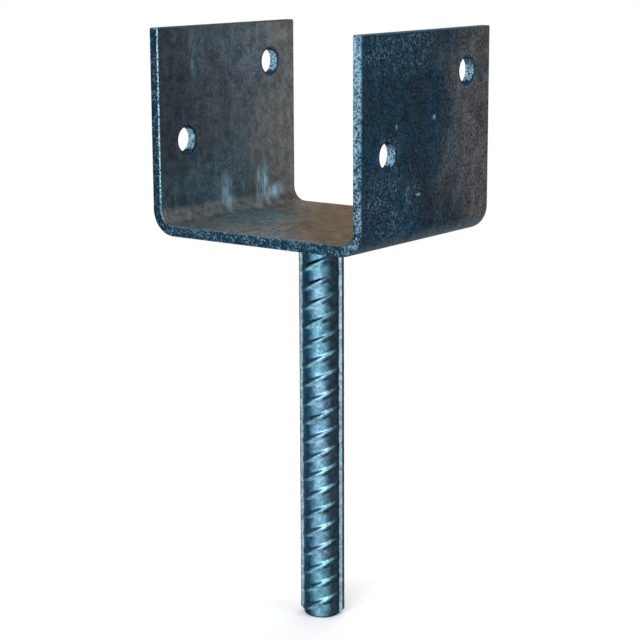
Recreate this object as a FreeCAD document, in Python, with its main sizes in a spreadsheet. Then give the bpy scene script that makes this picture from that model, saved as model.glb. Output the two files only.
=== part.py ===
"""Timber post base: a folded U bracket on a ribbed anchor bar.

The post stands on the web of the U, between two flanges, and is bolted through
both. The ribbed bar is welded under the web and is cast into the concrete.

Frame, in millimetres: the origin is the middle of the seat, which is the top
face of the web. X runs from flange to flange, Y from the front edges to the
back edges, and Z up. The bar hangs down along -Z.
"""

import FreeCAD, Part
import math
import os

import Sketcher

# Alias, value and meaning of each driving dimension, in millimetres and degrees.
SIZES = [
    ("clear_width", 101.0, "between the flanges: a 100 post and 1 of play"),
    ("plate_thickness", 4.5, "plate that the bracket is folded from"),
    ("bracket_depth", 94.0, "front edge to back edge"),
    ("flange_rise", 83.5, "seat to the top of a flange"),
    ("inner_bend_radius", 6.5, "inside of the two folds"),
    ("edge_break", 0.45, "bevel that breaks the sheared edges"),
    ("hole_diameter", 11.0, "clearance hole for an M10 bolt"),
    ("hole_edge_distance", 18.0, "hole centre to the nearer upright edge"),
    ("upper_hole_drop", 18.0, "upper hole centre below the top of a flange"),
    ("lower_hole_rise", 35.0, "lower hole centre above the seat"),
    ("hole_rim_break", 0.4, "bevel that breaks the hole rims"),
    ("bar_length", 174.0, "underside of the web to the cropped end"),
    ("bar_turn", 21.0, "turn of the bar about itself, its front ribs from -Y"),
    ("core_diameter", 16.6, "bar between its ribs"),
    ("side_rib_height", 1.7, "lengthways rib above the core"),
    ("side_rib_crest", 2.4, "width of a lengthways rib at its crest"),
    ("side_rib_flank", 12.0, "slope of its flanks, from the radius"),
    ("cross_rib_height", 1.1, "crescent rib above the core, at its middle"),
    ("cross_rib_crest", 1.2, "width of a crescent rib at its crest"),
    ("cross_rib_flank", 42.0, "slope of its flanks, from the radius"),
    ("cross_rib_lean", 24.0, "rise of a crescent rib to the right"),
    ("cross_rib_pitch", 8.6, "from one crescent rib to the next"),
    ("first_rib_drop", 12.5, "web to the middle of the first crescent rib"),
    ("last_rib_room", 4.0, "least length below the middle of the last one"),
    ("rib_root", 2.5, "how far a rib is drawn down from its crest"),
    ("end_break", 0.8, "cone that breaks the rim of the cropped end"),
    ("weld_leg", 5.5, "fillet weld along the web and along the bar"),
    ("weld_crown", 3.6, "crown of the weld, out from the bar and down from the web"),
]

# Places on a sketched line or arc, and the sketch's own axes and origin.
START, END, CENTRE = 1, 2, 3
X_AXIS, Y_AXIS = -1, -2
ORIGIN = (X_AXIS, START)

doc = FreeCAD.newDocument("timber_post_base")


def make_sheet():
    """Write the driving dimensions into a spreadsheet and name their cells."""
    cells = doc.addObject("Spreadsheet::Sheet", "Sizes")
    for row, (alias, value, meaning) in enumerate(SIZES, start=1):
        cells.set(f"A{row}", alias)
        cells.set(f"B{row}", str(value))
        cells.set(f"C{row}", meaning)
        cells.setAlias(f"B{row}", alias)
    doc.recompute()
    return cells


sheet = make_sheet()


def size(alias):
    """The value of a driving dimension."""
    return float(sheet.get(alias))


def new_body(label):
    body = doc.addObject("PartDesign::Body", label)
    body.Label = label
    return body


def origin_feature(body, role):
    """An origin plane or axis of the body, such as XY_Plane or Z_Axis."""
    return next(item for item in body.Origin.OriginFeatures if item.Role == role)


def new_sketch(body, name, plane):
    sketch = body.newObject("Sketcher::SketchObject", name)
    sketch.AttachmentSupport = [(origin_feature(body, plane), "")]
    sketch.MapMode = "FlatFace"
    return sketch


def new_feature(body, kind, name, settings, driven):
    """Add a PartDesign feature as the body's tip, its sizes worked out from the sheet."""
    feature = body.newObject(f"PartDesign::{kind}", name)
    for setting, value in settings.items():
        setattr(feature, setting, value)
    for setting, expression in driven.items():
        feature.setExpression(setting, expression)
    body.Tip = feature
    doc.recompute()
    return feature


def add_line(sketch, start, end):
    segment = Part.LineSegment(FreeCAD.Vector(*start), FreeCAD.Vector(*end))
    return sketch.addGeometry(segment, False)


def add_polygon(sketch, corners):
    """Add a closed outline through the corners and return its sides in order."""
    sides = [add_line(sketch, start, end)
             for start, end in zip(corners, corners[1:] + corners[:1])]
    for side, after in zip(sides, sides[1:] + sides[:1]):
        fix(sketch, "Coincident", side, END, after, START)
    return sides


def add_arc(sketch, centre, radius, first, last):
    """Add an arc, counter-clockwise from the first to the last angle in degrees."""
    circle = Part.Circle(FreeCAD.Vector(*centre), FreeCAD.Vector(0, 0, 1), radius)
    arc = Part.ArcOfCircle(circle, math.radians(first), math.radians(last))
    return sketch.addGeometry(arc, False)


def fix(sketch, kind, *where):
    """Add a constraint that has no size."""
    sketch.addConstraint(Sketcher.Constraint(kind, *where))


def drive(sketch, name, expression, kind, *where):
    """Add a dimension named after what it measures, worked out from the sheet."""
    index = sketch.addConstraint(Sketcher.Constraint(kind, *where))
    sketch.renameConstraint(index, name)
    sketch.setExpression(f"Constraints.{name}", expression)


def draw_u_profile(sketch):
    """The bracket seen from the front: seat, two folds and two upright flanges."""
    half = size("clear_width") / 2
    thick = size("plate_thickness")
    top = size("flange_rise")
    inside = size("inner_bend_radius")
    outside = inside + thick
    fold = half - inside

    left_inner = add_line(sketch, (-half, top), (-half, inside))
    left_inner_fold = add_arc(sketch, (-fold, inside), inside, 180, 270)
    seat = add_line(sketch, (-fold, 0), (fold, 0))
    right_inner_fold = add_arc(sketch, (fold, inside), inside, 270, 360)
    right_inner = add_line(sketch, (half, inside), (half, top))
    right_top = add_line(sketch, (half, top), (half + thick, top))
    right_outer = add_line(sketch, (half + thick, top), (half + thick, inside))
    right_outer_fold = add_arc(sketch, (fold, inside), outside, 270, 360)
    underside = add_line(sketch, (fold, -thick), (-fold, -thick))
    left_outer_fold = add_arc(sketch, (-fold, inside), outside, 180, 270)
    left_outer = add_line(sketch, (-half - thick, inside), (-half - thick, top))
    left_top = add_line(sketch, (-half - thick, top), (-half, top))

    for line in (left_inner, right_inner, right_outer, left_outer):
        fix(sketch, "Vertical", line)
    for line in (seat, underside, right_top, left_top):
        fix(sketch, "Horizontal", line)

    fix(sketch, "Tangent", left_inner, END, left_inner_fold, START)
    fix(sketch, "Tangent", left_inner_fold, END, seat, START)
    fix(sketch, "Tangent", seat, END, right_inner_fold, START)
    fix(sketch, "Tangent", right_inner_fold, END, right_inner, START)
    fix(sketch, "Coincident", right_inner, END, right_top, START)
    fix(sketch, "Coincident", right_top, END, right_outer, START)
    fix(sketch, "Tangent", right_outer, END, right_outer_fold, END)
    fix(sketch, "Tangent", right_outer_fold, START, underside, START)
    fix(sketch, "Tangent", underside, END, left_outer_fold, END)
    fix(sketch, "Tangent", left_outer_fold, START, left_outer, START)
    fix(sketch, "Coincident", left_outer, END, left_top, START)
    fix(sketch, "Coincident", left_top, END, left_inner, START)

    fix(sketch, "Coincident", left_inner_fold, CENTRE, left_outer_fold, CENTRE)
    fix(sketch, "Coincident", right_inner_fold, CENTRE, right_outer_fold, CENTRE)
    fix(sketch, "Equal", left_inner_fold, right_inner_fold)
    fix(sketch, "PointOnObject", seat, START, X_AXIS)
    fix(sketch, "Symmetric", left_inner, START, right_inner, END, Y_AXIS)

    drive(sketch, "clear_width", "Sizes.clear_width", "DistanceX",
          left_inner, START, right_inner, END, 2 * half)
    drive(sketch, "flange_rise", "Sizes.flange_rise", "DistanceY",
          *ORIGIN, right_inner, END, top)
    drive(sketch, "plate_thickness", "Sizes.plate_thickness", "DistanceX",
          right_top, START, right_top, END, thick)
    drive(sketch, "inner_bend_radius", "Sizes.inner_bend_radius", "Radius",
          left_inner_fold, inside)


def draw_bolt_holes(sketch):
    """Two holes on a diagonal of the flange: the upper one near its back edge."""
    across = size("bracket_depth") / 2 - size("hole_edge_distance")
    upper_height = size("flange_rise") - size("upper_hole_drop")
    lower_height = size("lower_hole_rise")
    places = [
        ("upper", across, upper_height, "Sizes.flange_rise - Sizes.upper_hole_drop"),
        ("lower", -across, lower_height, "Sizes.lower_hole_rise"),
    ]
    for name, depth, height, height_expression in places:
        centre = FreeCAD.Vector(depth, height)
        circle = Part.Circle(centre, FreeCAD.Vector(0, 0, 1), size("hole_diameter") / 2)
        hole = sketch.addGeometry(circle, False)
        drive(sketch, f"{name}_diameter", "Sizes.hole_diameter", "Diameter",
              hole, size("hole_diameter"))
        drive(sketch, f"{name}_height", height_expression, "DistanceY",
              *ORIGIN, hole, CENTRE, height)
        ends = (*ORIGIN, hole, CENTRE) if depth > 0 else (hole, CENTRE, *ORIGIN)
        drive(sketch, f"{name}_across", "Sizes.bracket_depth / 2 - Sizes.hole_edge_distance",
              "DistanceX", *ends, across)


def names_of_edges(shape, wanted):
    """Names of the edges of a shape that pass a test."""
    return [f"Edge{number}" for number, edge in enumerate(shape.Edges, start=1) if wanted(edge)]


def build_u_bracket():
    """The plate folded into a U, its four bolt holes and its broken edges."""
    body = new_body("u_bracket")

    profile = new_sketch(body, "bracket_profile", "XZ_Plane")
    draw_u_profile(profile)
    folded = new_feature(body, "Pad", "folded_plate",
                         {"Profile": profile, "SideType": "Symmetric"},
                         {"Length": "Sizes.bracket_depth"})

    holes = new_sketch(body, "bolt_hole_places", "YZ_Plane")
    draw_bolt_holes(holes)
    drilled = new_feature(body, "Pocket", "bolt_holes",
                          {"Profile": holes, "Type": "ThroughAll", "SideType": "Symmetric"}, {})
    bored = math.pi * (size("hole_diameter") / 2) ** 2 * size("plate_thickness")
    if abs(folded.Shape.Volume - drilled.Shape.Volume - 4 * bored) > 1:
        raise RuntimeError("the bolt holes do not go through both flanges")

    def is_hole_rim(edge):
        return isinstance(edge.Curve, Part.Circle) and edge.isClosed()

    rimmed = new_feature(body, "Chamfer", "broken_hole_rims",
                         {"Base": (drilled, names_of_edges(drilled.Shape, is_hole_rim))},
                         {"Size": "Sizes.hole_rim_break"})

    front_to_back = size("bracket_depth") / 2
    top = size("flange_rise")

    def is_sheared(edge):
        box = edge.BoundBox
        at_an_end = abs(abs(box.YMin) - front_to_back) + abs(box.YMax - box.YMin) < 1e-6
        at_the_top = abs(box.ZMin - top) + abs(box.ZMax - top) < 1e-6
        return at_an_end or at_the_top

    new_feature(body, "Chamfer", "broken_edges",
                {"Base": (rimmed, names_of_edges(rimmed.Shape, is_sheared))},
                {"Size": "Sizes.edge_break"})
    return body


def draw_rib_section(sketch, crest_radius, crest_radius_expression, rib):
    """A rib's section, standing out along the sketch's own X to its crest."""
    root = size("rib_root")
    crest_width = size(f"{rib}_crest")
    flank = math.tan(math.radians(size(f"{rib}_flank")))
    root_width = crest_width + 2 * root * flank

    _, crest, _, foot = add_polygon(sketch, [
        (crest_radius - root, -root_width / 2),
        (crest_radius, -crest_width / 2),
        (crest_radius, crest_width / 2),
        (crest_radius - root, root_width / 2),
    ])
    for line in (crest, foot):
        fix(sketch, "Symmetric", line, START, line, END, X_AXIS)
    drive(sketch, "crest_radius", crest_radius_expression, "DistanceX",
          *ORIGIN, crest, START, crest_radius)
    drive(sketch, "root", "Sizes.rib_root", "DistanceX", foot, END, crest, START, root)
    drive(sketch, "crest_width", f"Sizes.{rib}_crest", "DistanceY",
          crest, START, crest, END, crest_width)
    drive(sketch, "root_width",
          f"Sizes.{rib}_crest + 2 * Sizes.rib_root * tan(Sizes.{rib}_flank)", "DistanceY",
          foot, END, foot, START, root_width)


def add_rib_row(body, row, sign, extra_drop, extra_drop_expression):
    """A row of crescent ribs along the bar, in front (sign -1) or behind (sign 1).

    A crescent is a thin tilted ring as wide as the core. Its middle is set off
    from the bar's axis, so it stands out on one side and dies into the core
    towards the lengthways ribs.
    """
    core_radius = size("core_diameter") / 2
    drop_expression = f"Sizes.first_rib_drop + {extra_drop_expression}"
    drop = size("first_rib_drop") + extra_drop

    section = new_sketch(body, f"{row}_rib_section", "YZ_Plane")
    tilt_axis = FreeCAD.Vector(sign, 0, 0)
    section.AttachmentOffset = FreeCAD.Placement(
        FreeCAD.Vector(sign * size("cross_rib_height"), -drop, 0),
        FreeCAD.Rotation(tilt_axis, size("cross_rib_lean")))
    section.setExpression("AttachmentOffset.Base.x", f"{sign} * Sizes.cross_rib_height")
    section.setExpression("AttachmentOffset.Base.y", f"-({drop_expression})")
    section.setExpression("AttachmentOffset.Rotation.Angle", "Sizes.cross_rib_lean")
    draw_rib_section(section, core_radius, "Sizes.core_diameter / 2", "cross_rib")

    first = new_feature(body, "Revolution", f"{row}_rib",
                        {"Profile": section, "ReferenceAxis": (section, ["V_Axis"])}, {})
    return new_feature(body, "LinearPattern", f"{row}_ribs",
                       {"Originals": [first], "Direction": (origin_feature(body, "Z_Axis"), [""]),
                        "Reversed": True, "Mode": "Spacing"},
                       {"Offset": "Sizes.cross_rib_pitch",
                        "Occurrences": "floor((Sizes.bar_length - Sizes.last_rib_room"
                                       f" - ({drop_expression})) / Sizes.cross_rib_pitch) + 1"})


def build_anchor_bar():
    """The ribbed bar: round core, two lengthways ribs and two rows of crescents."""
    body = new_body("anchor_bar")

    round_section = new_sketch(body, "core_section", "XY_Plane")
    core_radius = size("core_diameter") / 2
    circle = Part.Circle(FreeCAD.Vector(0, 0), FreeCAD.Vector(0, 0, 1), core_radius)
    core = round_section.addGeometry(circle, False)
    fix(round_section, "Coincident", core, CENTRE, *ORIGIN)
    drive(round_section, "diameter", "Sizes.core_diameter", "Diameter", core, 2 * core_radius)
    new_feature(body, "Pad", "core", {"Profile": round_section, "Reversed": True},
                {"Length": "Sizes.bar_length"})

    side_section = new_sketch(body, "side_rib_section", "XY_Plane")
    draw_rib_section(side_section, core_radius + size("side_rib_height"),
                     "Sizes.core_diameter / 2 + Sizes.side_rib_height", "side_rib")
    side_rib = new_feature(body, "Pad", "side_rib", {"Profile": side_section, "Reversed": True},
                           {"Length": "Sizes.bar_length"})
    new_feature(body, "Mirrored", "side_ribs",
                {"Originals": [side_rib], "MirrorPlane": (origin_feature(body, "YZ_Plane"), [""])},
                {})

    add_rib_row(body, "front", -1, 0.0, "0")
    add_rib_row(body, "back", 1, size("cross_rib_pitch") / 2, "Sizes.cross_rib_pitch / 2")
    break_the_cropped_end(body)

    body.Placement.Base.z = -size("plate_thickness")
    body.setExpression("Placement.Base.z", "-Sizes.plate_thickness")
    body.setExpression("Placement.Rotation.Yaw", "Sizes.bar_turn")
    return body


def break_the_cropped_end(body):
    """Cut a cone round the lower end, as a cropped bar is left."""
    inner = size("core_diameter") / 2 - size("end_break")
    reach = 2 * size("end_break") + size("side_rib_height")
    reach_expression = "2 * Sizes.end_break + Sizes.side_rib_height"
    foot = -size("bar_length")

    section = new_sketch(body, "end_break_section", "XZ_Plane")
    level, upright, _ = add_polygon(section, [
        (inner, foot),
        (inner + reach, foot),
        (inner + reach, foot + reach),
    ])
    fix(section, "Horizontal", level)
    fix(section, "Vertical", upright)
    fix(section, "Equal", level, upright)
    drive(section, "inner_radius", "Sizes.core_diameter / 2 - Sizes.end_break", "DistanceX",
          *ORIGIN, level, START, inner)
    drive(section, "foot", "Sizes.bar_length", "DistanceY", level, START, *ORIGIN, -foot)
    drive(section, "reach", reach_expression, "DistanceX", level, START, level, END, reach)

    whole = body.Shape.Volume
    new_feature(body, "Groove", "end_cone",
                {"Profile": section, "ReferenceAxis": (section, ["V_Axis"])}, {})
    if body.Shape.Volume > whole - 1:
        raise RuntimeError("the cropped end was not broken")


def build_weld_bead(bar):
    """The fillet weld all round the bar, under the web, crowned along its middle."""
    ring = new_body("weld_ring")
    radius = size("core_diameter") / 2
    leg = size("weld_leg")
    crown = size("weld_crown")

    section = new_sketch(ring, "weld_section", "XZ_Plane")
    top, toe_face, _, level, axis = add_polygon(section, [
        (0, 0),
        (radius + leg, 0),
        (radius + crown, -crown),
        (radius, -leg),
        (0, -leg),
    ])
    for line in (top, level):
        fix(section, "Horizontal", line)
    fix(section, "Vertical", axis)
    fix(section, "Coincident", top, START, *ORIGIN)
    drive(section, "toe_radius", "Sizes.core_diameter / 2 + Sizes.weld_leg", "DistanceX",
          top, START, top, END, radius + leg)
    drive(section, "foot_radius", "Sizes.core_diameter / 2", "DistanceX",
          level, END, level, START, radius)
    drive(section, "leg", "Sizes.weld_leg", "DistanceY", axis, START, axis, END, leg)
    drive(section, "crown_radius", "Sizes.core_diameter / 2 + Sizes.weld_crown", "DistanceX",
          *ORIGIN, toe_face, END, radius + crown)
    drive(section, "crown_drop", "Sizes.weld_crown", "DistanceY",
          toe_face, END, *ORIGIN, crown)
    new_feature(ring, "Revolution", "weld_metal",
                {"Profile": section, "ReferenceAxis": (section, ["V_Axis"])}, {})
    ring.setExpression("Placement.Base.z", "-Sizes.plate_thickness")

    bead = doc.addObject("Part::Cut", "weld_bead")
    bead.Label = "weld_bead"
    bead.Base = ring
    bead.Tool = bar
    doc.recompute()
    return bead


def check(parts):
    """Stop before anything is written if an object failed or a shape is not sound."""
    for item in doc.Objects:
        if {"Invalid", "Error"} & set(item.State):
            raise RuntimeError(f"{item.Name} failed: {item.State}")
    for item in doc.findObjects("Sketcher::SketchObject"):
        if not item.FullyConstrained:
            raise RuntimeError(f"{item.Name} is not fully constrained")
    for part in parts:
        if part.Shape.isNull() or not part.Shape.isValid():
            raise RuntimeError(f"{part.Label} has no valid shape")
        if len(part.Shape.Solids) != 1:
            raise RuntimeError(f"{part.Label} is not one solid")


def main():
    bracket = build_u_bracket()
    bar = build_anchor_bar()
    bead = build_weld_bead(bar)
    doc.recompute()
    parts = (bracket, bar, bead)
    check(parts)
    os.makedirs("parts", exist_ok=True)
    for part in parts:
        part.Shape.exportStep(f"parts/{part.Label}.step")
        box = part.Shape.BoundBox
        print(f"{part.Label}: {part.Shape.Volume:.0f} mm3,"
              f" {box.XLength:.1f} x {box.YLength:.1f} x {box.ZLength:.1f} mm,"
              f" z {box.ZMin:.1f} to {box.ZMax:.1f}")


main()
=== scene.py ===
"""A hot-dip galvanised timber post base, standing on the cropped end of its anchor bar.

The folded bracket, the ribbed bar and the weld between them come from the frame.
Units are metres. X runs from flange to flange, Y from front to back, Z up, and the
origin is the middle of the seat.
"""

import math

import bmesh
import bpy
from mathutils import Matrix, Vector, noise as field


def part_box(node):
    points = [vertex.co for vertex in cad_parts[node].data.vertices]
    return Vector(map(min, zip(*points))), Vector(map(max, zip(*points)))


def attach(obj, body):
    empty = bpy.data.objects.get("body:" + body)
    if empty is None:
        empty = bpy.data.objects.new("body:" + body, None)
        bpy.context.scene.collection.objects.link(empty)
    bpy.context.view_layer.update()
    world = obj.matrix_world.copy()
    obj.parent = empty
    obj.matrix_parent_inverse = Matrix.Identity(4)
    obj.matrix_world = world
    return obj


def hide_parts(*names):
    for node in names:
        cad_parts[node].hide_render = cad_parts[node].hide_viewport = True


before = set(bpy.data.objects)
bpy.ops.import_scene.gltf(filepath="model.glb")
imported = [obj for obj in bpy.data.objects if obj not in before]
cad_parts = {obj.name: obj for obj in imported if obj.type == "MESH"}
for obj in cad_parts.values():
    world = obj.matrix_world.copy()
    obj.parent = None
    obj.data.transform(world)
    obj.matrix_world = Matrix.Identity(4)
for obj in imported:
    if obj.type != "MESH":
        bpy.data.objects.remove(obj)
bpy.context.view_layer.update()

MM = 0.001
PLATE = 4.5 * MM
BRACKET_LOW, BRACKET_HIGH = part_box("u_bracket")
BAR_LOW, BAR_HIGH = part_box("anchor_bar")
FLOOR_HEIGHT = BAR_LOW.z

# Paints, as linear red, green and blue.
CHARCOAL = (0.038, 0.050, 0.061, 1)
SLATE = (0.062, 0.080, 0.096, 1)
WARM_GREY = (0.115, 0.118, 0.114, 1)
NAVY = (0.011, 0.030, 0.050, 1)
WARM_BLACK = (0.068, 0.069, 0.071, 1)
SOOT = (0.018, 0.022, 0.026, 1)
# painted shade for the inner folds
FOLD_SHADE = (0.044, 0.044, 0.041, 1)
DEEP_TEAL = (0.075, 0.125, 0.152, 1)
SEAT_GREY = (0.155, 0.172, 0.170, 1)
SEAT_TEAL = (0.112, 0.176, 0.212, 1)
SEAT_BROWN = (0.116, 0.070, 0.029, 1)
FLECK_BLUE = (0.118, 0.205, 0.280, 1)
PALE_ZINC = (0.150, 0.330, 0.450, 1)
RUN_BLUE = (0.260, 0.430, 0.530, 1)
EDGE_ZINC = (0.250, 0.460, 0.590, 1)
SHEARED_PALE = (0.190, 0.370, 0.480, 1)
SHEARED_DARK = (0.006, 0.026, 0.048, 1)
BRIGHT_ZINC = (0.460, 0.680, 0.760, 1)
DEEP_BLUE = (0.006, 0.024, 0.046, 1)
# the next two are painted reflection tones of the bar's sides facing -X and +X
BAR_DARK = (0.007, 0.042, 0.080, 1)
BAR_SLATE = (0.017, 0.032, 0.048, 1)
# painted sheen of the bar where it faces front or back
BAR_SHEEN = (0.142, 0.310, 0.415, 1)
# painted highlight on the flanks of the crescent ribs
BAR_FLANK_HIGHLIGHT = (0.300, 0.510, 0.590, 1)
# painted highlight on the flanks of the lengthways ribs
SIDE_RIB_HIGHLIGHT = (0.215, 0.320, 0.370, 1)

SEA_GREEN_BLOOM = (0.92, 1.03, 0.99, 1)
LILAC_BLOOM = (1.10, 0.97, 1.02, 1)
PLATE_TINT = (0.45, 0.50, 0.55, 1)
BAR_TINT = (0.50, 0.55, 0.60, 1)
ZINC_METALLIC = 0.95

# The holes through both flanges, with their centres as depth and height.
HOLE_RADIUS = 5.5 * MM
HOLE_EDGE_DISTANCE = 18 * MM
UPPER_HOLE_DROP = 18 * MM
LOWER_HOLE_RISE = 35 * MM
HOLES = ((BRACKET_HIGH.y - HOLE_EDGE_DISTANCE, BRACKET_HIGH.z - UPPER_HOLE_DROP),
         (BRACKET_LOW.y + HOLE_EDGE_DISTANCE, LOWER_HOLE_RISE))

# Marks of the coating on the flanges, in millimetres: the side (1 right, -1 left), the
# depth and height of the middle, and the half sizes along the flange and up it.
FLECK_PATCHES = ((1, -22, 77, 26, 11), (1, -27, 15, 21, 14),
                 (-1, 16, 70, 24, 14), (-1, -12, 18, 28, 14))
ZINC_RUNS = ((-1, -3, 10, 3, 6.5), (-1, 0.5, 6.3, 2.6, 1.6), (-1, 19.8, 10, 2, 6.5),
             (-1, 24.3, 11, 2.4, 8), (-1, 31.5, 6.5, 6.5, 2.8), (1, 11, 11, 3, 7.5),
             (1, 15, 6.5, 5, 2.4), (1, -24, 9, 3.2, 6))
FAINT_STREAK = ((-1, -24, 71, 3, 10),)
BRIGHT_SPOTS = ((1, 4.4, 48, 1, 0.9), (1, -23, 46, 0.5, 1), (1, -7, 17.2, 1.6, 0.6),
         (-1, 8, 52, 1.2, 0.7), (-1, -30, 24, 0.6, 1.1))
COOL_PATCH_CENTRE = (-34 * MM, -1 * MM, 0)
COOL_PATCH_HALF = (16 * MM, 21 * MM, 6 * MM)


# The anchor bar, in millimetres and radians ---------------------------------------
# It is shaped with its side ribs along X and -X, and turned by BAR_TURN at the end.

CORE_RADIUS = 8.3
BAR_TURN = math.radians(21)
# heading of the painted sheen, also used for the painted light on the rib flanks
SHEEN_TURN = math.radians(28)
CROSSOVER_TURN = math.radians(38)
SIDE_RIB_HEIGHT = 1.65
SIDE_RIB_HALF = (1.0, 1.5)
CROSS_RIB_HEIGHT = 1.1
CROSS_RIB_HALF = (0.3, 1.7)
CROSS_RIB_LEAN = math.radians(24)
CROSS_RIB_PITCH = 8.6
FIRST_RIB_DROP = 12.5
LAST_RIB_ROOM = 4.0
RIB_UNEVENNESS = 0.08
RIB_WANDER = 0.02
END_BREAK = 0.9
END_UNEVENNESS = 0.35
END_CHIPPING = 0.06
END_RINGS = (0.93, 0.85, 0.75, 0.6, 0.5, 0.3)
TOP_RINGS = (0.9, 0.5)
BAR_ROWS = 560
BAR_COLUMNS = 132
COLUMN_CROWDING = 0.3
# Height, length and seed of the waves in the zinc, and how deep they lie.
ZINC_WAVES = ((0.05, 2.6, 11.0), (0.03, 0.9, 23.0))
ZINC_DEPTH = 0.03
BAR_TOP = BAR_HIGH.z / MM
BAR_FOOT = BAR_LOW.z / MM


def ease(value, low, high):
    """0 at low, 1 at high, and a soft start and stop between them."""
    share = min(max((value - low) / (high - low), 0.0), 1.0)
    return share * share * (3 - 2 * share)


def lumps(place, size, seed):
    """Smooth random value from -1 to 1 that changes over the given size."""
    return field.noise(place / size + Vector((seed, 2.7 * seed, -seed)))


def cross_rib_height(turn, height):
    """How far the crescent ribs stand out, at a turn round the bar and a height on it.

    The front row is centred on -Y and the back row on +Y, half a pitch lower. Each
    rib is tallest in the middle of its row and dies out towards the side ribs.
    """
    back = math.sin(turn) > 0
    middle = math.pi / 2 if back else -math.pi / 2
    swing = turn - middle
    tallest = CROSS_RIB_HEIGHT * max(math.cos(swing), 0.0) ** 1.1
    rise = CORE_RADIUS * math.sin(swing) * math.tan(CROSS_RIB_LEAN)
    first = BAR_TOP - FIRST_RIB_DROP - (CROSS_RIB_PITCH / 2 if back else 0)
    steps = (first + rise - height) / CROSS_RIB_PITCH
    nearest = round(steps)
    if nearest < 0 or first - nearest * CROSS_RIB_PITCH < BAR_FOOT + LAST_RIB_ROOM:
        return 0.0
    uneven = lumps(Vector((nearest, 9.0 * back, 0)), 0.37, 4.0)
    across = abs(steps - nearest + RIB_WANDER * uneven) * CROSS_RIB_PITCH
    across *= math.cos(CROSS_RIB_LEAN)
    crest, root = CROSS_RIB_HALF
    return tallest * (1 + RIB_UNEVENNESS * uneven) * ease(across, root, crest)


def side_rib_height(turn):
    """How far the two ribs that run the whole length of the bar stand out at a turn."""
    across = CORE_RADIUS * math.asin(min(abs(math.sin(turn)), 1.0))
    crest, root = SIDE_RIB_HALF
    return SIDE_RIB_HEIGHT * ease(across, root, crest)


def shape_bar_point(point):
    """Push a point of the plain round bar out to the ribs, and in at the cropped end.

    The columns of points crowd towards the side ribs, whose flanks are steep.
    """
    turn = math.atan2(point.y, point.x)
    turn -= COLUMN_CROWDING * math.sin(2 * turn)
    skin = Vector((CORE_RADIUS * math.cos(turn), CORE_RADIUS * math.sin(turn), point.z))
    zinc = sum(high * lumps(skin, long, seed) for high, long, seed in ZINC_WAVES) - ZINC_DEPTH
    rise = max(cross_rib_height(turn, point.z), side_rib_height(turn))
    radius = CORE_RADIUS + rise + zinc
    rim = CORE_RADIUS - END_BREAK * (1 + END_UNEVENNESS * lumps(skin, 4.0, 31.0))
    radius = min(radius, rim + (point.z - BAR_FOOT))
    turn += BAR_TURN
    return Vector((radius * math.cos(turn), radius * math.sin(turn), point.z))


def add_piece(name, body, replaced):
    """Turn a bmesh in millimetres into a smooth piece that stands for a CAD node."""
    bmesh.ops.recalc_face_normals(body, faces=body.faces)
    bmesh.ops.scale(body, vec=(MM,) * 3, verts=body.verts)
    mesh = bpy.data.meshes.new(name)
    body.to_mesh(mesh)
    body.free()
    mesh.polygons.foreach_set("use_smooth", [True] * len(mesh.polygons))
    piece = bpy.data.objects.new(name, mesh)
    bpy.context.scene.collection.objects.link(piece)
    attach(piece, "root")
    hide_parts(replaced)
    return piece


def close_end(body, ring, shares, roughness, seed):
    """Close a ring of edges with narrower and narrower rings and a last face."""
    for share in shares:
        made = bmesh.ops.extrude_edge_only(body, edges=ring)["geom"]
        points = [item for item in made if isinstance(item, bmesh.types.BMVert)]
        ring = [item for item in made if isinstance(item, bmesh.types.BMEdge)
                and all(end in points for end in item.verts)]
        for point in points:
            point.co.xy *= share
            point.co.z += roughness * (1 + lumps(point.co, 2.2, seed)) / 2
    bmesh.ops.contextual_create(body, geom=ring)


def make_bar():
    """The rolled bar with its side ribs, crescent ribs and cropped end."""
    body = bmesh.new()
    bmesh.ops.create_circle(body, segments=BAR_COLUMNS, radius=CORE_RADIUS)
    bmesh.ops.translate(body, vec=(0, 0, BAR_TOP), verts=body.verts)
    step = (BAR_FOOT - BAR_TOP) / BAR_ROWS
    swept = bmesh.ops.spin(body, geom=body.edges[:], cent=(0, 0, 0), axis=(0, 0, 1),
                           dvec=(0, 0, step), angle=0, steps=BAR_ROWS)["geom_last"]
    for point in body.verts:
        point.co = shape_bar_point(point.co)
    foot = [item for item in swept if isinstance(item, bmesh.types.BMEdge)]
    close_end(body, foot, END_RINGS, END_CHIPPING, 41.0)
    top = [edge for edge in body.edges if edge.is_boundary]
    close_end(body, top, TOP_RINGS, 0.0, 0.0)
    return add_piece("rolled_bar", body, "anchor_bar")


# The weld, in millimetres ---------------------------------------------------------

WELD_LEG = 5.5
WELD_FULLNESS = 1.25
WELD_OVERLAP = 0.4
WELD_RIPPLES = 30
WELD_SWELL = 0.55
WELD_UNEVENNESS = 0.25
RIPPLE_LAG = 0.9
WELD_PROFILE_STEPS = 18
WELD_TURN_STEPS = 288


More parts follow.
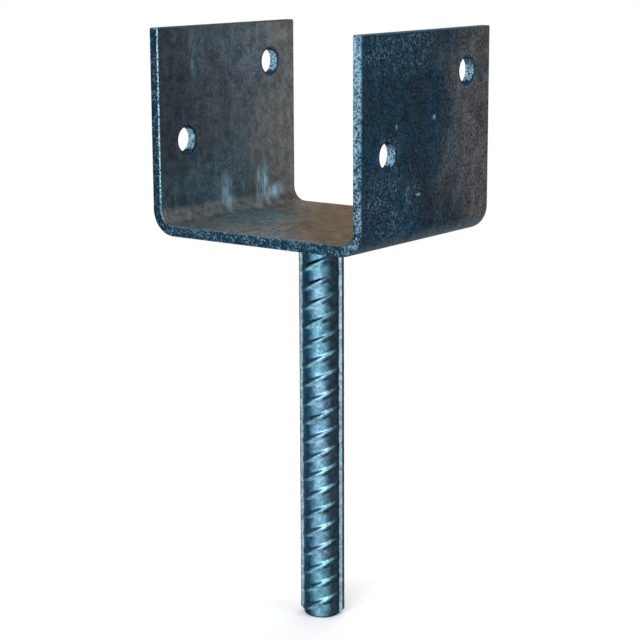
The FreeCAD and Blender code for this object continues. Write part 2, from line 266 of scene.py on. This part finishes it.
def make_weld():
    """The fillet weld: a round face laid in overlapping ripples all round the bar."""
    body = bmesh.new()
    profile = []
    for index in range(WELD_PROFILE_STEPS + 1):
        swing = index / WELD_PROFILE_STEPS * math.pi / 2
        reach = WELD_LEG * math.cos(swing) ** WELD_FULLNESS
        drop = WELD_LEG * math.sin(swing) ** WELD_FULLNESS
        profile.append(body.verts.new((CORE_RADIUS - WELD_OVERLAP + reach, 0, BAR_TOP - drop)))
    edges = [body.edges.new(pair) for pair in zip(profile, profile[1:])]
    bmesh.ops.spin(body, geom=profile + edges, cent=(0, 0, 0), axis=(0, 0, 1),
                   angle=2 * math.pi, steps=WELD_TURN_STEPS, use_merge=True)
    for point in body.verts:
        radial = Vector((point.co.x, point.co.y, 0))
        turn = math.atan2(radial.y, radial.x)
        out = radial.length - CORE_RADIUS
        down = BAR_TOP - point.co.z
        crown = math.sin(2 * math.atan2(down, out + WELD_OVERLAP))
        lag = RIPPLE_LAG * crown + 0.6 * lumps(point.co, 6.0, 7.0)
        ripple = abs(math.sin(WELD_RIPPLES / 2 * turn + lag))
        swell = WELD_SWELL * (ripple ** 0.7 - 0.6) + WELD_UNEVENNESS * lumps(point.co, 5.0, 3.0)
        point.co += crown * swell * (radial.normalized() * 0.7 + Vector((0, 0, -0.7)))
    return add_piece("rippled_weld", body, "weld_bead")


# Helpers for shader trees ---------------------------------------------------------

def plug(tree, source, socket):
    """Give a socket a constant, or link another socket to it."""
    if isinstance(source, bpy.types.NodeSocket):
        tree.links.new(source, socket)
    else:
        socket.default_value = source


def add(tree, kind, inputs=None, **settings):
    """Add a node with its settings, and its inputs by name or number."""
    new = tree.nodes.new(f"ShaderNode{kind}")
    for name, value in settings.items():
        setattr(new, name, value)
    for name, value in (inputs or {}).items():
        plug(tree, value, new.inputs[name])
    return new


def calc(tree, operation, *values):
    """A Math node's result."""
    new = add(tree, "Math", operation=operation)
    for socket, value in zip(new.inputs, values):
        plug(tree, value, socket)
    return new.outputs[0]


def times(tree, first, *others):
    """Two or more values multiplied together."""
    result = first
    for value in others:
        result = calc(tree, "MULTIPLY", result, value)
    return result


def inverse(tree, mask):
    """1 where a mask is 0, and 0 where it is 1."""
    return calc(tree, "SUBTRACT", 1.0, mask)


def vector(tree, operation, *values, result="Vector"):
    """A Vector Math node's result: a vector, or a number as Value."""
    new = add(tree, "VectorMath", operation=operation)
    for socket, value in zip(new.inputs, values):
        plug(tree, value, socket)
    return new.outputs[result]


def dot(tree, first, second):
    """The dot product of two vectors."""
    return vector(tree, "DOT_PRODUCT", first, second, result="Value")


def length_along(tree, offset, axes):
    """Length of an offset, in which only the axes given as 1 count."""
    return vector(tree, "LENGTH", vector(tree, "MULTIPLY", offset, axes), result="Value")


def split(tree, value):
    """The X, Y and Z of a vector."""
    return add(tree, "SeparateXYZ", {0: value}).outputs


def levelled(tree, x, y):
    """Level unit vector along an x and a y."""
    return vector(tree, "NORMALIZE", add(tree, "CombineXYZ", {0: x, 1: y}).outputs[0])


def shaded(tree, colour, factor):
    """A colour, or any vector, made larger or smaller by a factor."""
    return add(tree, "VectorMath", {0: colour, "Scale": factor}, operation="SCALE").outputs[0]


def ramp(tree, value, low, high, out_low=0.0, out_high=1.0):
    """A value from low to high eased into the range from out_low to out_high."""
    new = add(tree, "MapRange", interpolation_type="SMOOTHSTEP")
    for socket, item in zip(new.inputs, (value, low, high, out_low, out_high)):
        plug(tree, item, socket)
    return new.outputs[0]


def blend(tree, mask, first, second, kind="MIX"):
    """Two colours mixed by a mask."""
    new = add(tree, "Mix", data_type="RGBA", blend_type=kind)
    plug(tree, mask, new.inputs["Factor"])
    plug(tree, first, new.inputs[6])
    plug(tree, second, new.inputs[7])
    return new.outputs[2]


def noise(tree, where, scale, detail=3.0, roughness=0.5, distortion=0.0):
    """A cloudy value about a half."""
    new = add(tree, "TexNoise", {"Vector": where, "Scale": scale, "Detail": detail,
                                 "Roughness": roughness, "Distortion": distortion})
    return new.outputs["Fac"]


def stretched(tree, where, scale, turn=(0, 0, 0)):
    """Coordinates squeezed along some axes, so a pattern on them is drawn out."""
    return add(tree, "Mapping", {"Vector": where, "Scale": scale, "Rotation": turn}).outputs[0]


def ellipse(tree, where, centre, radii, wobble, edge):
    """1 inside an ellipsoid with an uneven edge, 0 outside it."""
    share = vector(tree, "DIVIDE", vector(tree, "SUBTRACT", where, centre), radii)
    away = vector(tree, "LENGTH", share, result="Value")
    uneven = calc(tree, "MULTIPLY_ADD", calc(tree, "SUBTRACT", wobble, 0.5), 1.6, away)
    return ramp(tree, uneven, 1 + edge, 1 - edge)


def patches(tree, where, face, thickness, marks, wobble, edge=0.35):
    """1 inside any of the marks on the two faces that lie a distance from the middle."""
    result = 0.0
    for side, depth, height, wide, high in marks:
        mark = ellipse(tree, where, (side * face, depth * MM, height * MM),
                       (thickness, wide * MM, high * MM), wobble, edge)
        result = calc(tree, "MAXIMUM", result, mark)
    return result


def new_group(name, inputs, outputs):
    """A node group with named sockets, and the ends of them that its nodes use."""
    group = bpy.data.node_groups.new(name, "ShaderNodeTree")
    for label, kind, start in inputs:
        socket = group.interface.new_socket(name=label, in_out="INPUT",
                                            socket_type=f"NodeSocket{kind}")
        if start is not None:
            socket.default_value = start
    for label, kind in outputs:
        group.interface.new_socket(name=label, in_out="OUTPUT",
                                   socket_type=f"NodeSocket{kind}")
    entry = group.nodes.new("NodeGroupInput").outputs
    exit_ = group.nodes.new("NodeGroupOutput").inputs
    return group, entry, exit_


def place(tree, group, **inputs):
    """A copy of a node group in a tree. Underscores in the names stand for spaces."""
    new = tree.nodes.new("ShaderNodeGroup")
    new.node_tree = group
    for name, value in inputs.items():
        plug(tree, value, new.inputs[name.replace("_", " ")])
    return new.outputs


# Effects of the zinc coating ------------------------------------------------------

# How often each pattern repeats in a metre.
BEND_SCALE = 260.0
PIT_SCALE = 310.0
BLOTCH_SCALE = 230.0
GRAIN_SCALE = 800.0
PLATE_CLOUD_SCALE = 34.0
PLATE_SPECKLE_SCALE = 1250.0
BAR_CLOUD_SCALE = 210.0
WELD_CLOUD_SCALE = 300.0


def zinc_spangle():
    """Frosty crystals of the coating: a flat tone for each, and small bright flecks."""
    group, entry, exit_ = new_group(
        "zinc_spangle",
        [("Vector", "Vector", None), ("Crystal Size", "Float", 4 * MM),
         ("Fleck Size", "Float", 1 * MM)],
        [("Tone", "Float"), ("Flecks", "Float")])
    crystal_scale = calc(group, "DIVIDE", 1.0, entry["Crystal Size"])
    bent = add(group, "TexNoise", {"Vector": entry["Vector"], "Scale": BEND_SCALE, "Detail": 2.0})
    offset = vector(group, "SUBTRACT", bent.outputs["Color"], (0.5, 0.5, 0.5))
    where = vector(group, "ADD", entry["Vector"], shaded(group, offset, 4 * MM))
    crystal = add(group, "TexVoronoi", {"Vector": where, "Scale": crystal_scale})
    tone = add(group, "SeparateColor", {0: crystal.outputs["Color"]}).outputs[0]
    plug(group, tone, exit_["Tone"])

    fleck_scale = calc(group, "DIVIDE", 1.0, entry["Fleck Size"])
    speck = noise(group, where, fleck_scale, detail=2.0, roughness=0.7)
    plug(group, ramp(group, speck, 0.51, 0.67), exit_["Flecks"])
    return group


def zinc_skin():
    """Height of the dipped skin: slow waves, fine grain and small pits."""
    group, entry, exit_ = new_group(
        "zinc_skin",
        [("Vector", "Vector", None), ("Wave Size", "Float", 12 * MM),
         ("Grain Size", "Float", 0.9 * MM)],
        [("Height", "Float")])
    wave_scale = calc(group, "DIVIDE", 1.0, entry["Wave Size"])
    grain_scale = calc(group, "DIVIDE", 1.0, entry["Grain Size"])
    waves = noise(group, entry["Vector"], wave_scale, detail=2.0)
    grain = noise(group, entry["Vector"], grain_scale, detail=3.0, roughness=0.6)
    cells = add(group, "TexVoronoi", {"Vector": entry["Vector"], "Scale": PIT_SCALE})
    pits = ramp(group, cells.outputs["Distance"], 0.0, 0.22, -0.5, 0.0)
    total = calc(group, "MULTIPLY_ADD", grain, 0.35, waves)
    plug(group, calc(group, "MULTIPLY_ADD", pits, 0.3, total), exit_["Height"])
    return group


def zinc_mottle():
    """Blotches and grain of the dulled zinc, as a factor about 1."""
    group, entry, exit_ = new_group(
        "zinc_mottle",
        [("Vector", "Vector", None), ("Blotch", "Float", 0.2), ("Grain", "Float", 0.3)],
        [("Factor", "Float"), ("Fine", "Float")])
    blotch = noise(group, entry["Vector"], BLOTCH_SCALE, roughness=0.6, distortion=0.5)
    grain = noise(group, entry["Vector"], GRAIN_SCALE, roughness=0.7)
    wide = ramp(group, blotch, 0.33, 0.67, -1.0, 1.0)
    fine = ramp(group, grain, 0.36, 0.64, -1.0, 1.0)
    wide = times(group, wide, entry["Blotch"])
    total = calc(group, "MULTIPLY_ADD", fine, entry["Grain"], wide)
    plug(group, calc(group, "ADD", total, 1.0), exit_["Factor"])
    plug(group, grain, exit_["Fine"])
    return group


SPANGLE = zinc_spangle()
SKIN = zinc_skin()
MOTTLE = zinc_mottle()


def new_material(name):
    """A material with nodes, its tree and its Principled shader."""
    material = bpy.data.materials.new(name)
    material.use_nodes = True
    tree = material.node_tree
    return material, tree, tree.nodes["Principled BSDF"]


def finish_zinc(tree, shader, where, body, tint, roughness, skin, strength, depth):
    """Plug a zinc colour, its roughness and the waves of its skin into a shader."""
    plug(tree, body, shader.inputs["Base Color"])
    shader.inputs["Metallic"].default_value = ZINC_METALLIC
    shader.inputs["Specular Tint"].default_value = tint
    plug(tree, roughness, shader.inputs["Roughness"])
    height = place(tree, SKIN, Vector=where, **skin)["Height"]
    bump = add(tree, "Bump", {"Height": height, "Strength": strength, "Distance": depth})
    plug(tree, bump.outputs[0], shader.inputs["Normal"])


# The bracket's paint --------------------------------------------------------------

def wall_colours(tree, where, z, shift, drift, outside):
    """Colour of the flanges: dark in front and warm grey behind, smoky outside."""
    inner = blend(tree, ramp(tree, drift, -45 * MM, 8 * MM), CHARCOAL, SLATE)
    inner = blend(tree, ramp(tree, drift, -5 * MM, 44 * MM), inner, WARM_GREY)
    deep = ramp(tree, calc(tree, "MULTIPLY_ADD", shift, 0.05, z), 42 * MM, 10 * MM)
    deep = times(tree, deep, ramp(tree, drift, 30 * MM, -10 * MM, 0.0, 0.8))
    inner = blend(tree, deep, inner, DEEP_TEAL)
    outer = blend(tree, ramp(tree, drift, 2 * MM, 32 * MM), NAVY, WARM_BLACK)
    body = blend(tree, outside, inner, outer)
    smoke = noise(tree, stretched(tree, where, (30, 42, 30), turn=(0.7, 0, 0)), 1.0,
                  detail=4.0, roughness=0.6, distortion=0.8)
    smoke = times(tree, ramp(tree, smoke, 0.48, 0.66, 0.0, 0.6), outside)
    return blend(tree, smoke, body, SOOT)


def seat_colours(tree, where, x, y, shift, cloud):
    """Colour of the seat: grey on the left, brown on the right, a cool patch between."""
    along = calc(tree, "MULTIPLY_ADD", y, 0.8, x)
    warm = ramp(tree, calc(tree, "MULTIPLY_ADD", shift, 0.065, along), -32 * MM, 1 * MM)
    seat = blend(tree, warm, SEAT_GREY, SEAT_BROWN)
    cool = ellipse(tree, where, COOL_PATCH_CENTRE, COOL_PATCH_HALF, cloud, edge=0.8)
    return blend(tree, times(tree, cool, 0.7), seat, SEAT_TEAL)


def patina_and_fold_shade(tree, where, normal, cloud, outside):
    """Colour of the walls, the underside and the seat, with painted shade in the folds between
    them.
    """
    x, y, z = split(tree, where)
    nx, _, nz = split(tree, normal)
    shift = calc(tree, "SUBTRACT", cloud, 0.5)
    drift = calc(tree, "MULTIPLY_ADD", shift, 0.06, y)
    body = wall_colours(tree, where, z, shift, drift, outside)
    under = blend(tree, ramp(tree, drift, -20 * MM, 30 * MM), CHARCOAL, SLATE)
    body = blend(tree, ramp(tree, nz, -0.3, -0.8), body, under)

    low = ramp(tree, calc(tree, "MULTIPLY_ADD", shift, 0.012, z), 8 * MM, 3 * MM)
    inside = times(tree, inverse(tree, outside), ramp(tree, nz, -0.2, 0.1))
    seat = seat_colours(tree, where, x, y, shift, cloud)
    body = blend(tree, times(tree, low, inside), body, seat)
    # painted shade in the inner folds between the walls and the seat
    fold_shade_mask = times(tree, nz, calc(tree, "ABSOLUTE", nx))
    fold_shade_mask = times(tree, ramp(tree, fold_shade_mask, 0.12, 0.48, 0.0, 0.55), inside)
    return blend(tree, fold_shade_mask, body, FOLD_SHADE)


def coating_marks(tree, body, where, spangle, cloud, speckle, outside):
    """Frosty flecks, pale runs that set in the folds, one faint streak and small bright spots."""
    half_width = BRACKET_HIGH.x
    inner_wall = half_width - PLATE
    gather = patches(tree, where, half_width, 9 * MM, FLECK_PATCHES, cloud)
    patchy = ramp(tree, noise(tree, where, 150.0, detail=2.0), 0.38, 0.58, 0.25, 1.0)
    flecked = calc(tree, "MULTIPLY_ADD", times(tree, gather, patchy), 0.85, 0.13)
    body = blend(tree, times(tree, spangle["Flecks"], flecked), body, FLECK_BLUE)

    runs = noise(tree, stretched(tree, where, (400, 330, 85), turn=(0.35, 0, 0)), 1.0,
                 detail=4.0, roughness=0.6, distortion=1.4)
    places = patches(tree, where, inner_wall, 4 * MM, ZINC_RUNS, cloud, edge=0.8)
    places = times(tree, places, inverse(tree, outside))
    streaked = times(tree, places, ramp(tree, runs, 0.42, 0.58, 0.22, 1.0))
    body = blend(tree, streaked, body, RUN_BLUE)
    faint = patches(tree, where, inner_wall, 3 * MM, FAINT_STREAK, cloud, edge=0.6)
    faint = times(tree, faint, ramp(tree, runs, 0.42, 0.65, 0.0, 0.35))
    body = blend(tree, faint, body, PALE_ZINC)

    bright_spots = patches(tree, where, half_width, 1 * MM, BRIGHT_SPOTS, speckle, edge=0.5)
    return blend(tree, times(tree, bright_spots, 0.34), body, BRIGHT_ZINC)


def sheared_edges(tree, body, where, normal, speckle, outside):
    """Cut edges in coarse speckle, brightest on the right, with a painted highlight on the inner
    arrises and painted shade on the outer ones.
    """
    x, y, z = split(tree, where)
    half_width, half_depth, top = BRACKET_HIGH
    across = calc(tree, "ABSOLUTE", y)
    side_edge = ramp(tree, across, half_depth - 0.5 * MM, half_depth - 0.3 * MM)
    top_edge = ramp(tree, z, top - 0.5 * MM, top - 0.3 * MM)
    to_right = ramp(tree, x, 0.80 * half_width, 0.93 * half_width)
    rising = ramp(tree, z, 0.3 * top, top, 0.38, 0.62)
    middle = ramp(tree, calc(tree, "ABSOLUTE", x), 0.9 * half_width, 0.8 * half_width)
    cover = times(tree, to_right, rising)
    cover = calc(tree, "MULTIPLY_ADD", middle, 0.2, cover)
    cutoff = ramp(tree, cover, 0.0, 0.7, 0.63, 0.48)
    grains = noise(tree, where, 480.0, detail=3.0, roughness=0.6)
    coarse = calc(tree, "MULTIPLY_ADD", grains, 0.35, times(tree, speckle, 0.65))
    zinc = ramp(tree, calc(tree, "SUBTRACT", coarse, cutoff), -0.13, 0.13)
    bright = blend(tree, to_right, SHEARED_PALE, EDGE_ZINC)
    body = blend(tree, side_edge, body, blend(tree, zinc, SHEARED_DARK, bright))
    top_paint = blend(tree, times(tree, zinc, 0.2), CHARCOAL, PALE_ZINC)
    body = blend(tree, top_edge, body, top_paint)

    # an arris leans 45 degrees between a face and an edge; painted highlight on the inner ones,
    # fading towards the bottom, and painted shade on the outer ones
    ny = split(tree, normal)["Y"]
    lean = calc(tree, "ABSOLUTE", calc(tree, "SUBTRACT", calc(tree, "ABSOLUTE", ny), 0.7))
    near_edge = ramp(tree, across, half_depth - 0.8 * MM, half_depth - 0.5 * MM)
    arris = times(tree, ramp(tree, lean, 0.25, 0.05), near_edge)
    highlight_height = ramp(tree, z, 2 * MM, 9 * MM, 0.1, 0.65)
    painted_highlight = times(tree, arris, highlight_height, ramp(tree, speckle, 0.38, 0.58), inverse(tree, outside))
    body = blend(tree, painted_highlight, body, BRIGHT_ZINC)
    return blend(tree, times(tree, arris, outside, 0.7), body, SHEARED_DARK)


def hole_rims(tree, body, where, normal, speckle):
    """Painted light and shade on the walls, pale on their upright sides and dark above and below,
    in a dark broken ring.
    """
    gaps = []
    for depth, height in HOLES:
        offset = vector(tree, "SUBTRACT", where, (0, depth, height))
        gaps.append(length_along(tree, offset, (0, 1, 1)))
    from_hole = calc(tree, "MINIMUM", *gaps)
    halo = ramp(tree, from_hole, HOLE_RADIUS + 4.0 * MM, HOLE_RADIUS + 1.4 * MM)
    halo = times(tree, halo, ramp(tree, speckle, 0.52, 0.66, 0.0, 0.7))
    body = blend(tree, halo, body, FLECK_BLUE)
    ring = ramp(tree, from_hole, HOLE_RADIUS + 1.5 * MM, HOLE_RADIUS + 0.8 * MM)
    ring = times(tree, ring, ramp(tree, speckle, 0.65, 0.4, 0.35, 1.0))
    body = blend(tree, ring, body, DEEP_BLUE)

    # painted light where the wall faces along the flange, painted shade where it faces up or down
    upright = ramp(tree, calc(tree, "ABSOLUTE", split(tree, normal)["Y"]), 0.35, 0.85)
    cutoff = ramp(tree, upright, 0.0, 1.0, 0.68, 0.46)
    zinc = ramp(tree, calc(tree, "SUBTRACT", speckle, cutoff), -0.12, 0.12)
    pale = blend(tree, zinc, DEEP_BLUE, EDGE_ZINC)
    glint = times(tree, ramp(tree, speckle, 0.56, 0.66), upright)
    pale = blend(tree, glint, pale, BRIGHT_ZINC)
    wall = ramp(tree, from_hole, HOLE_RADIUS + 0.12 * MM, HOLE_RADIUS + 0.02 * MM)
    return blend(tree, wall, body, pale)


def plate_material():
    """Dark, blue-grey zinc with flecks, runs in the fold, rough edges and a few chips."""
    material, tree, shader = new_material("galvanised_plate_paint")
    coords = add(tree, "TexCoord").outputs
    where, normal = coords["Object"], coords["Normal"]
    cloud = noise(tree, where, PLATE_CLOUD_SCALE, detail=4.0, roughness=0.55)
    speckle = noise(tree, where, PLATE_SPECKLE_SCALE, roughness=0.65)
    outward = times(tree, split(tree, where)["X"], split(tree, normal)["X"])
    outside = ramp(tree, outward, 0.2 * BRACKET_HIGH.x, 0.7 * BRACKET_HIGH.x)
    body = patina_and_fold_shade(tree, where, normal, cloud, outside)

    spangle = place(tree, SPANGLE, Vector=where)
    grain = ramp(tree, outside, 0.0, 1.0, 0.26, 0.5)
    mottle = place(tree, MOTTLE, Vector=where, Blotch=0.2, Grain=grain)
    tone = ramp(tree, spangle["Tone"], 0.0, 1.0, 0.9, 1.1)
    brushed = noise(tree, stretched(tree, where, (260, 260, 50)), 1.0, detail=3.0)
    drawn = ramp(tree, brushed, 0.3, 0.7, 0.86, 1.14)
    body = shaded(tree, body, times(tree, tone, drawn, mottle["Factor"]))
    body = coating_marks(tree, body, where, spangle, cloud, speckle, outside)
    body = sheared_edges(tree, body, where, normal, speckle, outside)
    body = hole_rims(tree, body, where, normal, speckle)
    roughness = ramp(tree, mottle["Fine"], 0.3, 0.7, 0.42, 0.60)
    finish_zinc(tree, shader, where, body, PLATE_TINT, roughness, {}, 0.5, 0.5 * MM)
    return material


# The bar's paint ------------------------------------------------------------------

def heading(turn):
    """Level unit vector at a turn from the front (-Y) towards the right (+X)."""
    return math.sin(turn), -math.cos(turn), 0


def painted_sheen(tree, body, level, facing, cloud):
    """The bar with a painted sheen where its surface faces the front or the back, and the turn
    away from there.
    """
    faced = calc(tree, "ABSOLUTE", dot(tree, level, heading(SHEEN_TURN)))
    turned = calc(tree, "ARCCOSINE", faced)
    uneven = calc(tree, "MULTIPLY_ADD", calc(tree, "SUBTRACT", cloud, 0.5), 0.5, turned)
    sheen_mask = ramp(tree, uneven, math.radians(40), 0.0)
    around = calc(tree, "ARCCOSINE", calc(tree, "ABSOLUTE", facing))
    band = ramp(tree, around, math.radians(62), math.radians(34))
    return blend(tree, times(tree, sheen_mask, band), body, BAR_SHEEN), around


def rib_flanks(tree, body, nz, outward, facing, around):
    """Painted highlight and painted shade on the flanks of the crescent ribs, bright on one slant
    and dark on the other.
    """
    crossover = (math.cos(CROSSOVER_TURN), math.sin(CROSSOVER_TURN), 0)
    leaning = times(tree, dot(tree, outward, crossover), calc(tree, "SIGN", facing))
    slant = times(tree, nz, leaning)
    flank = ramp(tree, calc(tree, "ABSOLUTE", nz), 0.12, 0.5)
    in_band = ramp(tree, around, math.radians(50), math.radians(6), 0.08, 0.95)
    shown = times(tree, flank, in_band)
    upper = ramp(tree, nz, 0.0, 0.3, 1.0, 0.62)
    # painted highlight on one slant of the flanks, weaker where they face up
    painted_highlight = times(tree, shown, ramp(tree, slant, -0.03, 0.06, 0.1, 1.0), upper)
    body = blend(tree, painted_highlight, body, BAR_FLANK_HIGHLIGHT)
    # painted shade on the other slant of the flanks
    flank_shade = times(tree, ramp(tree, slant, 0.0, -0.09, 0.0, 0.62), shown)
    return blend(tree, flank_shade, body, DEEP_BLUE)


def side_rib_strips(tree, body, where, level):
    """A painted highlight: a pale strip along the flanks of the lengthways ribs, short of their
    dark crests.
    """
    along_side = (math.cos(BAR_TURN), math.sin(BAR_TURN), 0)
    from_axis = calc(tree, "ABSOLUTE", dot(tree, where, along_side))
    inner_limit = ramp(tree, from_axis, 7.7 * MM, 8.0 * MM)
    outer_limit = ramp(tree, from_axis, 9.75 * MM, 9.35 * MM)
    beside = calc(tree, "ABSOLUTE", dot(tree, level, heading(BAR_TURN)))
    strip = times(tree, inner_limit, outer_limit, ramp(tree, beside, 0.45, 0.8))
    return blend(tree, strip, body, SIDE_RIB_HIGHLIGHT)


def bar_material():
    """Zinc with a painted sheen where the bar faces front or back, and dark where it faces the
    sides.
    """
    material, tree, shader = new_material("galvanised_bar_paint")
    coords = add(tree, "TexCoord").outputs
    where = coords["Object"]
    x, y, z = split(tree, where)
    nx, ny, nz = split(tree, coords["Normal"])
    cloud = noise(tree, where, BAR_CLOUD_SCALE, detail=4.0, roughness=0.65)
    level = levelled(tree, nx, ny)
    outward = levelled(tree, x, y)
    facing = dot(tree, outward, heading(SHEEN_TURN))
    # painted reflection: sides facing -X deep navy, sides facing +X slate
    body = blend(tree, ramp(tree, nx, 0.1, 0.7), BAR_DARK, BAR_SLATE)
    body, around = painted_sheen(tree, body, level, facing, cloud)
    body = rib_flanks(tree, body, nz, outward, facing, around)
    body = side_rib_strips(tree, body, where, level)

    # the cropped end stays dark in an uneven rim
    lifted = calc(tree, "MULTIPLY_ADD", cloud, 1.2 * MM, z)
    cropped = ramp(tree, lifted, BAR_LOW.z + 1.9 * MM, BAR_LOW.z + 1.1 * MM, 0.0, 0.8)
    body = blend(tree, cropped, body, DEEP_BLUE)

    # faint bloom of the coating, between sea green and lilac
    bloom = noise(tree, stretched(tree, where, (90, 90, 60)), 1.0, detail=2.0)
    tint = blend(tree, ramp(tree, bloom, 0.36, 0.64), SEA_GREEN_BLOOM, LILAC_BLOOM)
    body = blend(tree, 1.0, body, tint, kind="MULTIPLY")
    spangle = place(tree, SPANGLE, Vector=where, Crystal_Size=1.6 * MM, Fleck_Size=0.8 * MM)
    mottle = place(tree, MOTTLE, Vector=where, Blotch=0.26, Grain=0.2)
    tone = ramp(tree, spangle["Tone"], 0.0, 1.0, 0.86, 1.14)
    body = shaded(tree, body, times(tree, tone, mottle["Factor"]))
    roughness = ramp(tree, cloud, 0.3, 0.7, 0.34, 0.5)
    finish_zinc(tree, shader, where, body, BAR_TINT, roughness, {"Wave_Size": 6 * MM},
                0.4, 0.3 * MM)
    return material


# The weld's paint -----------------------------------------------------------------

def weld_material():
    """Weld metal under the zinc: dark toes, paler cloudy patches and a little spatter."""
    material, tree, shader = new_material("galvanised_weld_paint")
    where = add(tree, "TexCoord").outputs["Object"]
    out = length_along(tree, where, (1, 1, 0))
    down = calc(tree, "SUBTRACT", BAR_TOP * MM, split(tree, where)["Z"])
    outer_toe = ramp(tree, out, (CORE_RADIUS + 0.7 * WELD_LEG) * MM, (CORE_RADIUS + WELD_LEG) * MM)
    lower_toe = ramp(tree, down, 0.7 * WELD_LEG * MM, WELD_LEG * MM)
    toes = calc(tree, "MAXIMUM", outer_toe, lower_toe)

    spangle = place(tree, SPANGLE, Vector=where, Crystal_Size=1.8 * MM, Fleck_Size=0.7 * MM)
    mottle = place(tree, MOTTLE, Vector=where, Blotch=0.3, Grain=0.25)
    cloud = noise(tree, where, WELD_CLOUD_SCALE, detail=4.0)
    body = blend(tree, ramp(tree, cloud, 0.34, 0.66), DEEP_TEAL, PALE_ZINC)
    body = blend(tree, times(tree, toes, 0.75), body, NAVY)
    body = blend(tree, times(tree, spangle["Flecks"], 0.25), body, BRIGHT_ZINC)
    tone = ramp(tree, spangle["Tone"], 0.0, 1.0, 0.85, 1.15)
    body = shaded(tree, body, times(tree, tone, mottle["Factor"]))
    roughness = ramp(tree, cloud, 0.3, 0.7, 0.34, 0.55)
    finish_zinc(tree, shader, where, body, BAR_TINT, roughness,
                {"Wave_Size": 3 * MM, "Grain_Size": 0.6 * MM}, 0.5, 0.3 * MM)
    return material


def paint(node, material):
    """Give a node from the frame its material."""
    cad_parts[node].material_slots[0].material = material


paint("u_bracket", plate_material())
make_bar().data.materials.append(bar_material())
make_weld().data.materials.append(weld_material())


# Studio ---------------------------------------------------------------------------

FLOOR_RADIUS = 6.0
FLOOR_PALE = (0.93, 0.93, 0.93, 1)
SHADOW_REACH = 0.25
WHITE_FROM = 0.9
WHITE = (1, 1, 1, 1)
WORLD_AS_LAMP = 0.5

# Name, azimuth, elevation, distance, width, height and watts.
LAMPS = (("key_lamp", 15, 22, 2.2, 1.8, 2.2, 56), ("fill_lamp", 95, 30, 2.6, 1.6, 1.6, 20),
         ("top_lamp", 200, 65, 2.4, 1.8, 1.8, 24))

CAMERA_AZIMUTH = 36.88
CAMERA_ELEVATION = 11.99
CAMERA_DISTANCE = 0.7932
CAMERA_AIM = Vector((-0.0009, 0, -0.0436))
CAMERA_ROLL = -0.0041
CAMERA_LENS = 101.9
CAMERA_SENSOR = 36


def seen_by_eye(tree):
    """Masks of the rays that the camera or a reflection sees, and the camera alone."""
    path = add(tree, "LightPath").outputs
    mirrored = calc(tree, "MAXIMUM", path["Is Glossy Ray"], path["Is Transmission Ray"])
    return calc(tree, "MAXIMUM", path["Is Camera Ray"], mirrored), path["Is Camera Ray"]


def floor_material():
    """Pale floor that holds the shadow and fades to plain white, clear from below."""
    material, tree, shader = new_material("floor_paint")
    shader.inputs["Base Color"].default_value = FLOOR_PALE
    shader.inputs["Roughness"].default_value = 0.9
    shader.inputs["Specular IOR Level"].default_value = 0.0
    where = add(tree, "TexCoord").outputs["Object"]
    away = length_along(tree, where, (1, 1, 0))
    seen, by_camera = seen_by_eye(tree)
    whitened = times(tree, ramp(tree, away, SHADOW_REACH, WHITE_FROM), seen)
    white = add(tree, "Emission", {"Color": WHITE, "Strength": 1.0}).outputs[0]
    faded = add(tree, "MixShader", {0: whitened, 1: shader.outputs[0], 2: white}).outputs[0]
    below = add(tree, "NewGeometry").outputs["Backfacing"]
    clear = add(tree, "BsdfTransparent").outputs[0]
    hidden = times(tree, below, by_camera)
    result = add(tree, "MixShader", {0: hidden, 1: faded, 2: clear}).outputs[0]
    plug(tree, result, tree.nodes["Material Output"].inputs["Surface"])
    return material


def make_floor():
    """A wide round floor under the cropped end of the bar."""
    bpy.ops.mesh.primitive_circle_add(vertices=96, radius=FLOOR_RADIUS, fill_type="NGON")
    floor = bpy.context.object
    floor.name = "studio_floor"
    floor.data.transform(Matrix.Translation((0, 0, FLOOR_HEIGHT)))
    floor.data.materials.append(floor_material())


def make_world():
    """White to the eye and in reflections, and dimmer as a lamp."""
    world = bpy.data.worlds.new("studio")
    bpy.context.scene.world = world
    world.use_nodes = True
    tree = world.node_tree
    seen, _ = seen_by_eye(tree)
    background = tree.nodes["Background"]
    background.inputs["Color"].default_value = WHITE
    plug(tree, ramp(tree, seen, 0.0, 1.0, WORLD_AS_LAMP, 1.0), background.inputs["Strength"])


def from_angles(azimuth, elevation):
    """Unit vector towards a viewer: azimuth 0 stands in front, 90 to the right."""
    a, e = math.radians(azimuth), math.radians(elevation)
    return Vector((math.sin(a) * math.cos(e), -math.cos(a) * math.cos(e), math.sin(e)))


def make_lamp(name, azimuth, elevation, distance, width, height, watts):
    """A soft rectangular lamp aimed at the middle of the object."""
    light = bpy.data.lights.new(name, "AREA")
    light.shape = "RECTANGLE"
    light.size, light.size_y = width, height
    light.energy = watts
    lamp = bpy.data.objects.new(name, light)
    bpy.context.scene.collection.objects.link(lamp)
    back = from_angles(azimuth, elevation)
    middle = Vector((0, 0, (BRACKET_HIGH.z + BAR_LOW.z) / 2))
    lamp.location = middle + distance * back
    lamp.rotation_euler = back.to_track_quat("Z", "Y").to_euler()


def make_camera():
    """The camera, a little above the flanges and to the right of the front."""
    data = bpy.data.cameras.new("camera")
    data.sensor_width = CAMERA_SENSOR
    data.lens = CAMERA_LENS
    camera = bpy.data.objects.new("camera", data)
    bpy.context.scene.collection.objects.link(camera)
    bpy.context.scene.camera = camera
    back = from_angles(CAMERA_AZIMUTH, CAMERA_ELEVATION)
    right = Vector((0, 0, 1)).cross(back).normalized()
    up = back.cross(right)
    level = Matrix((right, up, back)).transposed()
    camera.rotation_euler = (level @ Matrix.Rotation(CAMERA_ROLL, 3, "Z")).to_euler()
    camera.location = CAMERA_AIM + CAMERA_DISTANCE * back


make_floor()
make_world()
for lamp in LAMPS:
    make_lamp(*lamp)
make_camera()

bpy.context.scene.view_settings.view_transform = "Standard"
